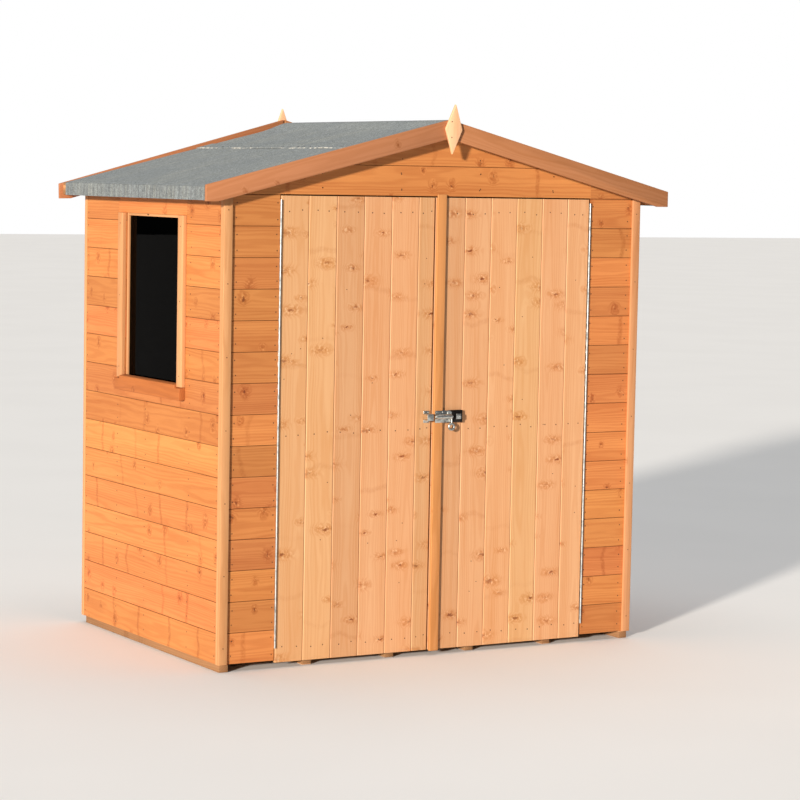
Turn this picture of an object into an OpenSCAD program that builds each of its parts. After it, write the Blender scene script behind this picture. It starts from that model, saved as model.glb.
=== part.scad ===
// Wooden garden shed: shiplap walls on timber framing, felted apex roof, ledged double door,
// one fixed side window, standing on timber bearers.
// Origin at the centre of the footprint on the ground, +Z up, front face towards -Y.

/* [Body] */
// Width over the side walls
body_w = 1800; // [1500:10:2400]
// Depth over the front and back walls
body_d = 1200; // [950:10:1800]
// Thickness of the wall and door boards
board_t = 12; // [8:0.5:20]
// Depth of the wall framing, behind the boards
frame_t = 28; // [20:1:45]
// Width of each framing member, seen from inside
frame_w = 28; // [20:1:50]
// Height that the side walls rise above the doorway head
side_rise = 30; // [20:1:200]

/* [Base] */
// Height of the bearers
bearer_h = 28; // [20:1:75]
// Width of the bearers
bearer_w = 36; // [25:1:75]
// Set-in of the outer bearers from the side walls
bearer_inset = 7; // [0:1:40]
// How far the bearers stop short of the back wall face
bearer_short = 20; // [0:1:60]
// Thickness of the floor deck
floor_t = 12; // [9:0.5:22]

/* [Doors] */
// Width of the doorway
doorway_w = 1344; // [1000:2:1500]
// Height of the doorway above the bottom edge of the wall boards
doorway_h = 1690; // [1400:5:2100]
// Clear gap round each leaf
leaf_gap = 5; // [5:0.5:10]
// How far the leaves hang below the bottom edge of the wall boards
leaf_drop = 8; // [0:1:15]
// Distance of the left leaf's closing edge from the centre line
meeting_offset = 24; // [22:1:60]
// Gap between the two leaves
meeting_gap = 6; // [5:0.5:10]
// Width of the ledges and braces on the back of the doors
ledge_w = 70; // [45:1:120]
// Thickness of the ledges and braces
ledge_t = 22; // [12:1:28]
// Height of the lowest ledge above the floor
ledge_low = 20; // [15:5:200]
// Distance of the highest ledge's bottom edge below the top of the leaf
ledge_high = 90; // [85:5:300]
// Width of the cover strip
strip_w = 38; // [25:1:60]
// Thickness of the cover strip
strip_t = 12; // [10:1:30]
// How far the cover strip stands above the leaves
strip_over = 12; // [0:1:25]
// How far the cover strip hangs below the leaves
strip_under = 4; // [0:1:15]

/* [Hinges] */
// Outer radius of the piano hinge knuckles
knuckle_r = 3.4; // [2.6:0.1:4.5]
// Radius of the hinge pin
pin_r = 1.5; // [1:0.1:1.8]
// Thickness of the hinge leaves
plate_t = 1; // [0.8:0.1:1.2]
// Depth of the hinge leaves from front to back
plate_d = 25; // [12:1:32]
// Height of the hinge's bottom end above the bottom of the leaf
hinge_low = 53; // [10:1:150]
// Distance of the hinge's top end below the top of the leaf
hinge_high = 14; // [5:1:150]

/* [Latch] */
// Height of the bolt above the bottom edge of the wall boards
latch_h = 871; // [500:1:1300]
// Length of the plate, across the door
latch_l = 119; // [100:1:160]
// Height of the plate
latch_plate_h = 45; // [38:1:60]
// Radius of the bolt
bolt_r = 5.5; // [4:0.5:6.5]
// Travel of the bolt
bolt_throw = 36; // [30:1:45]
// Outer radius of the bolt's ring
ring_r = 16.5; // [12:0.5:20]
// Length of the barrel that the bolt slides in
barrel_l = 64; // [50:1:70]

/* [Window] */
// Width of the window opening
window_w = 483; // [300:1:600]
// Height of the window opening
window_h = 633; // [300:1:800]
// Height of the opening above the bottom edge of the wall boards
window_low = 972; // [600:2:1000]
// Distance of the window's centre in front of the middle of the wall
window_fore = 24.5; // [-80:0.5:80]
// Width of the side trims
window_trim_w = 43; // [25:1:60]
// Thickness of the side trims
window_trim_t = 16; // [8:1:25]
// Height of the sill's ends, under the side trims
sill_h = 48; // [30:1:70]
// How far the sill stands out from the wall
sill_out = 25; // [16:1:50]
// Thickness of the pane
pane_t = 3; // [2:0.5:6]

/* [Roof] */
// Pitch of the roof, in degrees
roof_pitch = 14.2; // [8:0.1:30]
// Thickness of the roof boards
roof_t = 11; // [8:0.5:20]
// Thickness of the roofing felt
felt_t = 2.5; // [1.5:0.1:4]
// How far the roof stands out past the side walls
eave_out = 80; // [50:1:150]
// How far the roof stands out past the front and back walls
verge_out = 45; // [30:1:120]
// Depth of the felt turned down over each eave
felt_drop = 49; // [35:1:80]
// Width of the ridge beam and the eave battens
batten_w = 28; // [20:1:45]
// Depth of the ridge beam, from top to bottom
ridge_beam_h = 45; // [30:1:75]

/* [Trim] */
// Width of the corner trims
corner_w = 34; // [25:1:60]
// Thickness of the corner trims
corner_t = 10; // [8:1:25]
// Width of the bargeboards, square to their length
barge_w = 68; // [50:1:120]
// Thickness of the bargeboards
barge_t = 12; // [9:0.5:22]
// How far the bargeboards stand above the felt
barge_rise = 10; // [0:1:25]
// How far the bargeboard tips stand out past the felt
barge_out = 16; // [0:1:60]
// Depth of the level cut under each bargeboard tip
barge_nick = 12; // [0:1:30]
// Width of the diamond finials
finial_w = 70; // [40:1:120]
// Height of the diamond finials
finial_h = 184; // [100:1:240]
// Thickness of the finials
finial_t = 12; // [8:0.5:22]
// Height of the finial's top above the ridge of the bargeboards
finial_rise = 57; // [20:1:90]

/* [Hidden] */

$fn = 32;
saw_gap = 0.5;            // clearance where framing members meet
seat = 0.05;              // walls and frames stop this far under the roof boards
reach = 10;               // how far a cutting shape runs past what it cuts
half_w = body_w / 2;
half_d = body_d / 2;
inner_w = half_w - board_t;
inner_d = half_d - board_t;
room_w = inner_w - frame_t;
room_d = inner_d - frame_t;

// Heights
wall_z = bearer_h;
deck_z = bearer_h + floor_t;
head_z = wall_z + doorway_h;
leaf_z = wall_z - leaf_drop;
leaf_top = head_z - leaf_gap;

// Roof lines: each height is taken at the centre line and falls with the pitch
fall = tan(roof_pitch);
plumb = 1 / cos(roof_pitch);
under_z = head_z + side_rise + half_w * fall;
deck_under_z = under_z + seat;
deck_top_z = deck_under_z + roof_t * plumb;
ridge_z = deck_top_z + felt_t * plumb;
barge_z = ridge_z + barge_rise;
eave_x = half_w + eave_out;
drop_z = ridge_z - eave_x * fall - felt_drop;
deck_x = eave_x - felt_t;
verge_y = half_d + verge_out;
barge_x = eave_x + barge_out;

// Doors
door_x = doorway_w / 2;
leaf_x = door_x - leaf_gap;
ledge_end = 12;           // how far the ledges stop short of the leaf's edges
meet_left = -meeting_offset;
meet_right = meet_left + meeting_gap;
hinge_x = door_x - leaf_gap / 2;
hinge_y = -half_d - knuckle_r - 0.6;
hinge_z = leaf_z + hinge_low;
hinge_l = leaf_top - hinge_high - hinge_z;
knuckles = 21;
knuckle_gap = 0.4;
knuckle_l = (hinge_l - (knuckles - 1) * knuckle_gap) / knuckles;
pin_fit = 0.08;

// Latch: the bolt runs in front of the cover strip
latch_z = wall_z + latch_h;
latch_x = meet_right + 4;
latch_plate_t = 2;
latch_face = -half_d - strip_t - latch_plate_t;
barrel_r = bolt_r + 3.5;
bolt_y = latch_face - bolt_r - 1.5;
bolt_fit = 0.5;
barrel_x = latch_x + 2;
ring_x = barrel_x + barrel_l + 1;
ring_z = latch_z - latch_plate_h / 2 - ring_r + 1.5;
ring_t = 5;
neck_w = 6;
neck_fit = 1;
keep_l = 26;
keep_x = meet_left - 8 - keep_l;
keep_t = 3;
keep_clear = 4;
staple_l = 16;
staple_h = 18;
staple_out = 9;
staple_t = 3;

// Window
window_z = wall_z + window_low;
window_top = window_z + window_h;
window_front = -window_fore - window_w / 2;
window_back = -window_fore + window_w / 2;
head_lap = 27;            // how far the board over the window runs past the back trim
frame_lip = 10;           // visible width of the window frame
frame_groove = 5;         // depth of the groove that holds the pane
pane_x = -half_w + 13.5;
trim_z = window_z + 6;    // the side trims stand on the ends of the sill
sill_up = 12;             // the sill stands this much higher between the side trims

// ---- Helpers ----

// A box given by its two opposite corners
module block(low, high) {
    translate(low) cube(high - low);
}

// A flat outline in X and Z, given its thickness from front to back
module slice_xz(y0, y1) {
    translate([0, y1, 0]) rotate([90, 0, 0]) linear_extrude(y1 - y0) children();
}

// The left half's copy on the right
module flip_x(right) {
    mirror([right ? 1 : 0, 0, 0]) children();
}

// The front half's copy at the back
module flip_y(back) {
    mirror([0, back ? 1 : 0, 0]) children();
}

// An outline between two X values, from a level bottom up to a line that falls with the roof
module under_slope(x0, x1, z0, apex) {
    polygon(concat([[x0, z0], [x1, z0], [x1, apex - abs(x1) * fall]],
        x0 < 0 && x1 > 0 ? [[0, apex]] : [], [[x0, apex - abs(x0) * fall]]));
}

// A strip that follows one slope, between two heights taken at the centre line
module along_slope(x0, x1, apex_low, apex_high) {
    polygon([[x0, apex_low - abs(x0) * fall], [x1, apex_low - abs(x1) * fall],
        [x1, apex_high - abs(x1) * fall], [x0, apex_high - abs(x0) * fall]]);
}

// ---- Base ----

module bearers() {
    first = half_w - bearer_inset - bearer_w / 2;
    pitch = first * 2 / 5;
    color("#C98A52") for (i = [0:5]) {
        x = i * pitch - first;
        // the four inner bearers start behind the door leaves
        front = i == 0 || i == 5 ? -half_d : -inner_d + leaf_gap + 1;
        block([x - bearer_w / 2, front, 0], [x + bearer_w / 2, half_d - bearer_short, bearer_h]);
    }
}

module floor_deck() {
    color("#C99A66")
        block([-inner_w, -inner_d + leaf_gap + 1, wall_z], [inner_w, inner_d, deck_z]);
}

// ---- Walls ----

module front_panel(right) {
    color("#DB8A55") flip_x(right) slice_xz(-half_d, -inner_d)
        under_slope(-inner_w, -door_x, wall_z, under_z);
}

module front_gable() {
    color("#D98B55") slice_xz(-half_d, -inner_d) under_slope(-door_x, door_x, head_z, under_z);
}

module back_wall() {
    color("#D98B55") slice_xz(inner_d, half_d) under_slope(-inner_w, inner_w, wall_z, under_z);
}

// A whole side wall: its top edge is bevelled to the roof
module side_wall(right) {
    flip_x(right) slice_xz(-half_d, half_d) under_slope(-half_w, -inner_w, wall_z, under_z);
}

// The gap that the window, and the board over it, leave in the wall
module window_gap() {
    block([-half_w - reach, window_front, window_z], [-inner_w + reach, window_back, window_top]);
}

module head_gap(top) {
    block([-half_w - reach, window_front - window_trim_w, window_top],
        [-inner_w + reach, window_back + window_trim_w + head_lap, top]);
}

module left_wall() {
    color("#F29A54") difference() {
        side_wall(false);
        window_gap();
        head_gap(under_z);
    }
}

module right_wall() {
    color("#F29A54") side_wall(true);
}

// ---- Framing inside the walls ----

// One upright of the front or back frame, cut to the slope at its top
module gable_post(x0, x1) {
    slice_xz(-inner_d, -room_d) under_slope(x0, x1, deck_z, under_z);
}

// The two sloping members that carry the roof boards at a gable
module gable_rafters(x_end) {
    for (right = [false, true]) flip_x(right) slice_xz(-inner_d, -room_d)
        along_slope(-x_end + saw_gap, -saw_gap / 2, under_z - frame_w * plumb, under_z);
}

module front_frame() {
    color("#D9A878") {
        for (right = [false, true]) flip_x(right) {
            gable_post(-room_w + saw_gap, -room_w + frame_w);
            gable_post(-door_x - frame_w, -door_x);
        }
        block([-door_x + saw_gap, -inner_d, head_z],
            [door_x - saw_gap, -room_d, head_z + frame_w]);
        gable_rafters(door_x);
    }
}

module back_frame() {
    corner = room_w - saw_gap;
    bay = (2 * corner - frame_w) / 4;
    color("#D9A878") flip_y(true) {
        for (i = [0:4]) {
            x = -corner + i * bay;
            slice_xz(-inner_d, -room_d) polygon([[x, deck_z + frame_w + saw_gap],
                [x + frame_w, deck_z + frame_w + saw_gap],
                [x + frame_w, under_z - (frame_w + 1) * plumb - max(abs(x), abs(x + frame_w)) * fall],
                [x, under_z - (frame_w + 1) * plumb - max(abs(x), abs(x + frame_w)) * fall]]);
        }
        block([-corner, -inner_d, deck_z], [corner, -room_d, deck_z + frame_w]);
        gable_rafters(room_w);
    }
}

// A side frame: a rail at the top and the bottom, and uprights between them
module side_frame(uprights) {
    side_top = under_z - inner_w * fall;
    block([-inner_w, -inner_d, deck_z], [-room_w, inner_d, deck_z + frame_w]);
    slice_xz(-inner_d, inner_d) under_slope(-inner_w, -room_w, side_top - frame_w, under_z);
    for (y = uprights)
        block([-inner_w, y, deck_z + frame_w + saw_gap],
            [-room_w, y + frame_w, side_top - frame_w - saw_gap]);
}

// Start of each of n evenly spaced uprights along a side
function even_uprights(n) = [for (i = [0:n - 1]) -inner_d + i * (2 * inner_d - frame_w) / (n - 1)];

module left_frame() {
    color("#D9A878") {
        side_frame([-inner_d, window_front - frame_w, window_back, inner_d - frame_w]);
        // the members that the window stands on and hangs from
        for (z = [window_z - frame_w, window_top])
            block([-inner_w, window_front + saw_gap, z], [-room_w, window_back - saw_gap, z + frame_w]);
    }
}

module right_frame() {
    color("#D9A878") flip_x(true) side_frame(even_uprights(4));
}

// ---- Corner trims ----

module corner_trim(right, back) {
    color("#EBAA73") flip_x(right) flip_y(back) slice_xz(-half_d - corner_t, -half_d)
        under_slope(-half_w, -half_w + corner_w, wall_z, under_z);
}

// ---- Window ----

module window_trims() {
    color("#E8A468") for (y = [window_front - window_trim_w, window_back])
        block([-half_w - window_trim_t, y, trim_z], [-half_w, y + window_trim_w, window_top]);
}

// The board over the window, flush with the wall
module window_head() {
    color("#F29A54") intersection() {
        side_wall(false);
        head_gap(under_z);
    }
}

// The sill's top slopes outwards to shed water
module sill_outline(top) {
    face = -half_w - sill_out;
    polygon([[-half_w, top], [-half_w, trim_z - sill_h], [face, trim_z - sill_h],
        [face, top - 5]]);
}

module window_sill() {
    color("#E8A468") {
        slice_xz(window_front - window_trim_w, window_back + window_trim_w) sill_outline(trim_z);
        slice_xz(window_front + saw_gap, window_back - saw_gap) sill_outline(trim_z + sill_up);
    }
}

// One bar of the window frame, seen from its end, grooved for the pane
module bar_outline() {
    polygon([[-half_w + 4, 0], [-room_w, 0], [-room_w, frame_lip], [pane_x + pane_t, frame_lip],
        [pane_x + pane_t, frame_groove], [pane_x, frame_groove], [pane_x, frame_lip],
        [-half_w + 4, frame_lip]]);
}

module window_frame() {
    inner = window_w - 2 * frame_lip - 2 * saw_gap;
    color("#E3A066") {
        // upright bars
        for (back = [0, 1]) translate([0, back ? window_back : window_front, window_z])
            mirror([0, back, 0]) linear_extrude(window_h) bar_outline();
        // level bars, between the uprights
        for (top = [0, 1]) translate([0, 0, top ? window_top : window_z]) mirror([0, 0, top])
            slice_xz(window_front + frame_lip + saw_gap, window_front + frame_lip + saw_gap + inner)
            bar_outline();
    }
}

module window_pane() {
    color([0.75, 0.82, 0.85, 0.35])
        block([pane_x, window_front + frame_groove, window_z + frame_groove],
            [pane_x + pane_t, window_back - frame_groove, window_top - frame_groove]);
}

// ---- Roof ----

module roof_panel(right) {
    color("#C79763") flip_x(right) slice_xz(-verge_y, verge_y)
        along_slope(-deck_x, 0, deck_under_z, deck_top_z);
}

// Ridge beam between the gable rafters, and a batten under each eave
module roof_battens() {
    color("#C79763") {
        slice_xz(-room_d, room_d)
            under_slope(-batten_w / 2, batten_w / 2, under_z - ridge_beam_h, under_z);
        for (right = [false, true]) flip_x(right) slice_xz(-verge_y, verge_y)
            under_slope(-deck_x, -deck_x + batten_w, drop_z + felt_t, under_z);
    }
}

// The felt covers the slope and turns down over the eave
module felt(right) {
    color("#8C9292") flip_x(right) slice_xz(-verge_y, verge_y)
        polygon([[0, ridge_z], [-eave_x, ridge_z - eave_x * fall], [-eave_x, drop_z],
            [-deck_x, drop_z], [-deck_x, deck_top_z - deck_x * fall], [0, deck_top_z]]);
}

module bargeboard(right, back) {
    low = barge_z - barge_w * plumb;
    tip_z = low - barge_x * fall;
    nick_x = barge_x - barge_nick / fall;
    color("#D7915F") flip_x(right) flip_y(back) slice_xz(-verge_y - barge_t, -verge_y)
        polygon([[0, barge_z], [0, low], [-nick_x, tip_z + barge_nick],
            [-barge_x, tip_z + barge_nick], [-barge_x, barge_z - barge_x * fall]]);
}

module finial(back) {
    mid = barge_z + finial_rise - finial_h / 2;
    color("#D7915F") flip_y(back) slice_xz(-verge_y - barge_t - finial_t, -verge_y - barge_t)
        polygon([[0, mid + finial_h / 2], [-finial_w / 2, mid], [0, mid - finial_h / 2],
            [finial_w / 2, mid]]);
}

// ---- Doors ----

module leaf_boards(x0, x1) {
    color("#F5B47D") block([x0, -half_d, leaf_z], [x1, -inner_d, leaf_top]);
}

// Three level ledges, and a brace in each bay that rises from the hinge side
module ledges(x0, x1, hinge_left) {
    low = deck_z + ledge_low;
    high = leaf_top - ledge_high;
    pitch = (high - low) / 2;
    back = -inner_d + ledge_t;
    color("#D9A878") {
        for (i = [0:2]) block([x0, -inner_d, low + i * pitch], [x1, back, low + i * pitch + ledge_w]);
        for (i = [0:1]) {
            z0 = low + i * pitch + ledge_w + saw_gap;
            z1 = low + (i + 1) * pitch - saw_gap;
            xa = hinge_left ? x0 : x1 - ledge_w;
            xb = hinge_left ? x1 - ledge_w : x0;
            slice_xz(-inner_d, back)
                polygon([[xa, z0], [xa + ledge_w, z0], [xb + ledge_w, z1], [xb, z1]]);
        }
    }
}

module left_door_ledges() {
    ledges(-leaf_x + ledge_end, meet_left - ledge_end, true);
}

module right_door_ledges() {
    ledges(meet_right + ledge_end, leaf_x - ledge_end, false);
}

// The strip is rebated at its top, where it stands in front of the gable boards
module cover_strip() {
    color("#EBAA73") difference() {
        block([meet_right, -half_d - strip_t, leaf_z - strip_under],
            [meet_right + strip_w, -half_d, leaf_top + strip_over]);
        block([meet_right - reach, -half_d - leaf_gap, leaf_top],
            [meet_right + strip_w + reach, reach - half_d, leaf_top + strip_over + reach]);
    }
}

// ---- Piano hinges ----

// Every second knuckle from the bottom (part 0) or the one above it (part 1)
module knuckle_row(part) {
    for (i = [part:2:knuckles - 1])
        translate([0, 0, i * (knuckle_l + knuckle_gap)]) {
            cylinder(h = knuckle_l, r = knuckle_r);
            children();
        }
}

// One hinge leaf, along the edge it is screwed to, with the tabs that carry its knuckles
module hinge_half(part, plate_x) {
    plate_y = -half_d - 0.2 - hinge_y;
    knuckle_row(part) translate([plate_x, 0, 0]) cube([plate_t, plate_y + 1, knuckle_l]);
    translate([plate_x, plate_y, 0]) cube([plate_t, plate_d, hinge_l]);
}

module fixed_hinge(right) {
    color("#C9B79A") flip_x(right) translate([-hinge_x, hinge_y, hinge_z]) {
        hinge_half(0, -leaf_gap / 2);
        cylinder(h = hinge_l, r = pin_r);
    }
}

module moving_hinge(right) {
    color("#C9B79A") flip_x(right) translate([-hinge_x, hinge_y, hinge_z]) difference() {
        hinge_half(1, leaf_gap / 2 - plate_t);
        translate([0, 0, -reach]) cylinder(h = hinge_l + 2 * reach, r = pin_r + pin_fit);
    }
}

// ---- Latch ----

// A rod along X
module rod_x(x0, x1, r) {
    translate([x0, bolt_y, latch_z]) rotate([0, 90, 0]) cylinder(h = x1 - x0, r = r);
}

// A raised staple on the left leaf, with a foot above and below
module latch_keep() {
    slot = bolt_r + keep_clear;
    face = bolt_y - slot;
    color("#9EA2A2") {
        for (side = [-1, 1]) {
            leg = side > 0 ? slot : -slot - keep_t;
            foot = side > 0 ? slot : -latch_plate_h / 2;
            block([keep_x, face - keep_t, latch_z + leg],
                [keep_x + keep_l, -half_d, latch_z + leg + keep_t]);
            block([keep_x, -half_d - latch_plate_t, latch_z + foot],
                [keep_x + keep_l, -half_d, latch_z + foot + latch_plate_h / 2 - slot]);
        }
        block([keep_x, face - keep_t, latch_z - slot - keep_t],
            [keep_x + keep_l, face, latch_z + slot + keep_t]);
    }
}

module latch_body() {
    half_h = latch_plate_h / 2;
    color("#B7BABA") difference() {
        union() {
            block([latch_x, latch_face, latch_z - half_h],
                [barrel_x + barrel_l, -half_d - strip_t, latch_z + half_h]);
            rod_x(barrel_x, barrel_x + barrel_l, barrel_r);
            block([barrel_x, bolt_y, latch_z - barrel_r],
                [barrel_x + barrel_l, latch_face, latch_z + barrel_r]);
        }
        rod_x(latch_x - reach, barrel_x + barrel_l + reach, bolt_r + bolt_fit);
        // slot for the neck of the ring
        block([ring_x - bolt_throw - neck_w / 2 - neck_fit, bolt_y - ring_t / 2 - neck_fit,
            latch_z - barrel_r - reach],
            [barrel_x + barrel_l + reach, bolt_y + ring_t / 2 + neck_fit, latch_z]);
    }
}

// The dark case at the closing end, with a staple on its face
module latch_case() {
    half_h = latch_plate_h / 2;
    x0 = barrel_x + barrel_l;
    x1 = latch_x + latch_l;
    staple_x = x1 - staple_l - keep_t * 2;
    staple_in = staple_h / 2 - staple_t;
    color("#3E3A38") {
        block([x0, latch_face, latch_z - half_h], [x1, -half_d, latch_z + half_h]);
        difference() {
            block([staple_x, latch_face - staple_out, latch_z - staple_h / 2],
                [staple_x + staple_l, latch_face, latch_z + staple_h / 2]);
            block([staple_x - reach, latch_face - staple_out + staple_t, latch_z - staple_in],
                [staple_x + staple_l + reach, latch_face - 1, latch_z + staple_in]);
        }
    }
}

module latch_bolt() {
    color("#A8ACAE") {
        rod_x(meet_right, ring_x + neck_w / 2 + 1, bolt_r);
        translate([ring_x, bolt_y + ring_t / 2, ring_z]) rotate([90, 0, 0]) difference() {
            cylinder(h = ring_t, r = ring_r);
            translate([0, 0, -reach]) cylinder(h = ring_t + 2 * reach, r = ring_r / 2);
        }
        block([ring_x - neck_w / 2, bolt_y - ring_t / 2, ring_z + ring_r * 0.8],
            [ring_x + neck_w / 2, bolt_y + ring_t / 2, latch_z]);
    }
}

// ---- Assembly ----

bearers();
floor_deck();  // floor
front_panel(false);  // front_panel_left
front_panel(true);  // front_panel_right
front_gable();
front_frame();
left_wall();
right_wall();
back_wall();
left_frame();
right_frame();
back_frame();
corner_trim(false, false);  // corner_trim_front_left
corner_trim(true, false);  // corner_trim_front_right
corner_trim(false, true);  // corner_trim_back_left
corner_trim(true, true);  // corner_trim_back_right
window_trims();
window_head();
window_sill();
window_frame();
window_pane();
roof_panel(false);  // roof_panel_left
roof_panel(true);  // roof_panel_right
roof_battens();
felt(false);  // felt_left
felt(true);  // felt_right
bargeboard(false, false);  // bargeboard_front_left
bargeboard(true, false);  // bargeboard_front_right
bargeboard(false, true);  // bargeboard_back_left
bargeboard(true, true);  // bargeboard_back_right
finial(false);  // finial_front
finial(true);  // finial_back
leaf_boards(-leaf_x, meet_left);  // left_door
left_door_ledges();
leaf_boards(meet_right, leaf_x);  // right_door
right_door_ledges();
cover_strip();
fixed_hinge(false);  // left_hinge
fixed_hinge(true);  // right_hinge
moving_hinge(false);  // left_door_hinge
moving_hinge(true);  // right_door_hinge
latch_keep();
latch_body();
latch_case();
latch_bolt();
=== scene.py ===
import math
import random
from functools import partial

import bmesh
import bpy
import numpy as np
from bpy.props import FloatProperty, FloatVectorProperty, PointerProperty
from mathutils import Matrix, Vector, noise


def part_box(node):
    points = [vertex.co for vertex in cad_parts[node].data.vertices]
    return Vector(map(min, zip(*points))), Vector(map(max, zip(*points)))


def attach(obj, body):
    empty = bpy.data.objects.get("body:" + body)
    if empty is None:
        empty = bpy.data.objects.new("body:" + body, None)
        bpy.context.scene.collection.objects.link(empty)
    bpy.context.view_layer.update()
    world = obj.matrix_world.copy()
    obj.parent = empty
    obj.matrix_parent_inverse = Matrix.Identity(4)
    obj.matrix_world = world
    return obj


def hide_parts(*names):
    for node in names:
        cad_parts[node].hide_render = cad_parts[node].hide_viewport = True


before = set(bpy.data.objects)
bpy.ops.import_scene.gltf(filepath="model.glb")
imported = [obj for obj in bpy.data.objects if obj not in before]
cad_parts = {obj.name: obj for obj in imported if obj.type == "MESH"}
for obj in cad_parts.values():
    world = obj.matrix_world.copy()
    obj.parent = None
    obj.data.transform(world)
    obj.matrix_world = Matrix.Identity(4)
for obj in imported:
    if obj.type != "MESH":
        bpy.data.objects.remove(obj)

bl_info = {
    "name": "Garden Shed",
    "version": (1, 0, 0),
    "blender": (4, 5, 0),
    "location": "View3D > Sidebar > Shed",
    "description": "Builds the boards, felt, hinges, latch and nails of a wooden garden shed round its frame",
    "category": "Object",
}

MM = 0.001
X, Y, Z = Vector((1, 0, 0)), Vector((0, 1, 0)), Vector((0, 0, 1))

# ---- Places, all taken from the frame ----

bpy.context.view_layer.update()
# the walls' outer faces, their thickness, and the height of their lower edge
HALF_W, HALF_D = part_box("right_wall")[1].xy
BOARD_T = HALF_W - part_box("right_wall")[0].x
WALL_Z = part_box("left_wall")[0].z
# half the doorway's width, its top, and the underside of the roof at the ridge
DOOR_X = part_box("front_gable")[1].x
HEAD_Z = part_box("front_gable")[0].z
UNDER_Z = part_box("front_gable")[1].z
# how far the roof falls for each metre from the ridge, its angle, and the left slope's upward normal
FALL = (UNDER_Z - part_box("front_panel_left")[1].z) / DOOR_X
PITCH = math.atan(FALL)
ROOF_UP = Vector((-math.sin(PITCH), 0, math.cos(PITCH)))


def linear(code):
    """Turns an sRGB hex colour such as "#D98B55" into linear red, green and blue."""
    parts = [int(code[i:i + 2], 16) / 255 for i in (1, 3, 5)]
    return tuple(c / 12.92 if c <= 0.04045 else ((c + 0.055) / 1.055) ** 2.4 for c in parts)


def rgba(colour):
    return (*colour, 1.0)


# ---- Sizes and colours that a user would change ----

def length(name, text, default):
    return FloatProperty(name=name, description=text, default=default, min=0, precision=5,
                         subtype="DISTANCE", unit="LENGTH")


def paint(name, text, code):
    return FloatVectorProperty(name=name, description=text, default=linear(code), size=3,
                               min=0, max=1, subtype="COLOR")


class ShedSizes(bpy.types.PropertyGroup):
    cover: length("Board cover", "Height of wall that one board covers", 112.5 * MM)
    wall_joint: length("Wall joint", "Gap left open between two wall boards", 1.7 * MM)
    wall_arris: length("Wall arris", "Width of the planed corner of a wall board", 1.2 * MM)
    door_joint: length("Door joint", "Gap left open between two door boards", 1.3 * MM)
    door_arris: length("Door arris", "Width of the planed corner of a door board", 2.6 * MM)
    trim_arris: length("Trim arris", "Width of the planed corner of trims and bargeboards", 1.3 * MM)
    nail: length("Nail head", "Radius of a wall or door nail's head", 3.2 * MM)
    clout: length("Clout head", "Radius of a felt nail's head", 5.0 * MM)
    lap: length("Felt lap", "Distance of the ridge sheet's edge from the ridge", 425 * MM)
    knuckle: length("Knuckle", "Length of one knuckle of the piano hinges", 20 * MM)


class ShedColours(bpy.types.PropertyGroup):
    wall: paint("Wall boards", "Golden stain on the wall boards", "#CB864A")
    wall_dark: paint("Wall grain", "Late wood of the wall boards", "#A9602D")
    door: paint("Door boards", "Pale stain on the door boards", "#CFA276")
    door_dark: paint("Door grain", "Late wood of the door boards", "#BF8652")
    trim: paint("Trims", "Corner and window trims", "#D09A6A")
    trim_dark: paint("Trim grain", "Late wood of the trims", "#B67B4A")
    strip: paint("Cover strip", "Strip over the meeting of the doors", "#B07A4B")
    strip_dark: paint("Cover strip grain", "Late wood of the cover strip", "#95602F")
    sill: paint("Sill", "Deeply dipped window sill", "#B46C34")
    sill_dark: paint("Sill grain", "Late wood of the window sill", "#8F5023")
    barge: paint("Bargeboards", "Bargeboards", "#B07850")
    barge_dark: paint("Bargeboard grain", "Late wood of the bargeboards", "#9A6236")
    raw: paint("Sawn timber", "Framing, floor and roof boards", "#D3A06C")
    raw_dark: paint("Sawn timber grain", "Late wood of the sawn timber", "#B47F4C")
    knot: paint("Knots", "Heart of a knot", "#7A3E1A")
    felt: paint("Felt", "Mineral grit on the roofing felt", "#808688")
    felt_pale: paint("Felt streaks", "Worn grit on the roofing felt", "#959892")
    zinc: paint("Zinc", "Bright zinc plate on the latch", "#D3D6D2")
    steel: paint("Hinge steel", "Galvanised piano hinge", "#BFC4C5")
    floor: paint("Floor", "Studio floor", "#EFEEEC")


def sizes():
    return bpy.context.scene.shed_sizes


def colours():
    return bpy.context.scene.shed_colours


# ---- Materials ----

def outlet(value):
    """The output socket that a node or socket gives."""
    if isinstance(value, bpy.types.NodeSocket):
        return value
    if value.bl_idname == "ShaderNodeMix":
        return value.outputs[("FLOAT", "VECTOR", "RGBA").index(value.data_type)]
    return value.outputs[0]


def add(tree, kind, feeds=None, **settings):
    """Adds one node. Settings are its properties; feeds are its inputs, as values, sockets or nodes."""
    made = tree.nodes.new("ShaderNode" + kind)
    for name, value in settings.items():
        setattr(made, name, value)
    for key, value in (feeds or {}).items():
        if isinstance(value, (bpy.types.NodeSocket, bpy.types.Node)):
            tree.links.new(outlet(value), made.inputs[key])
        else:
            made.inputs[key].default_value = value
    return made


def blank(name):
    """A new material with an empty node tree, and add() bound to that tree."""
    material = bpy.data.materials.new(name)
    material.use_nodes = True
    material.node_tree.nodes.clear()
    return material, partial(add, material.node_tree)


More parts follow.
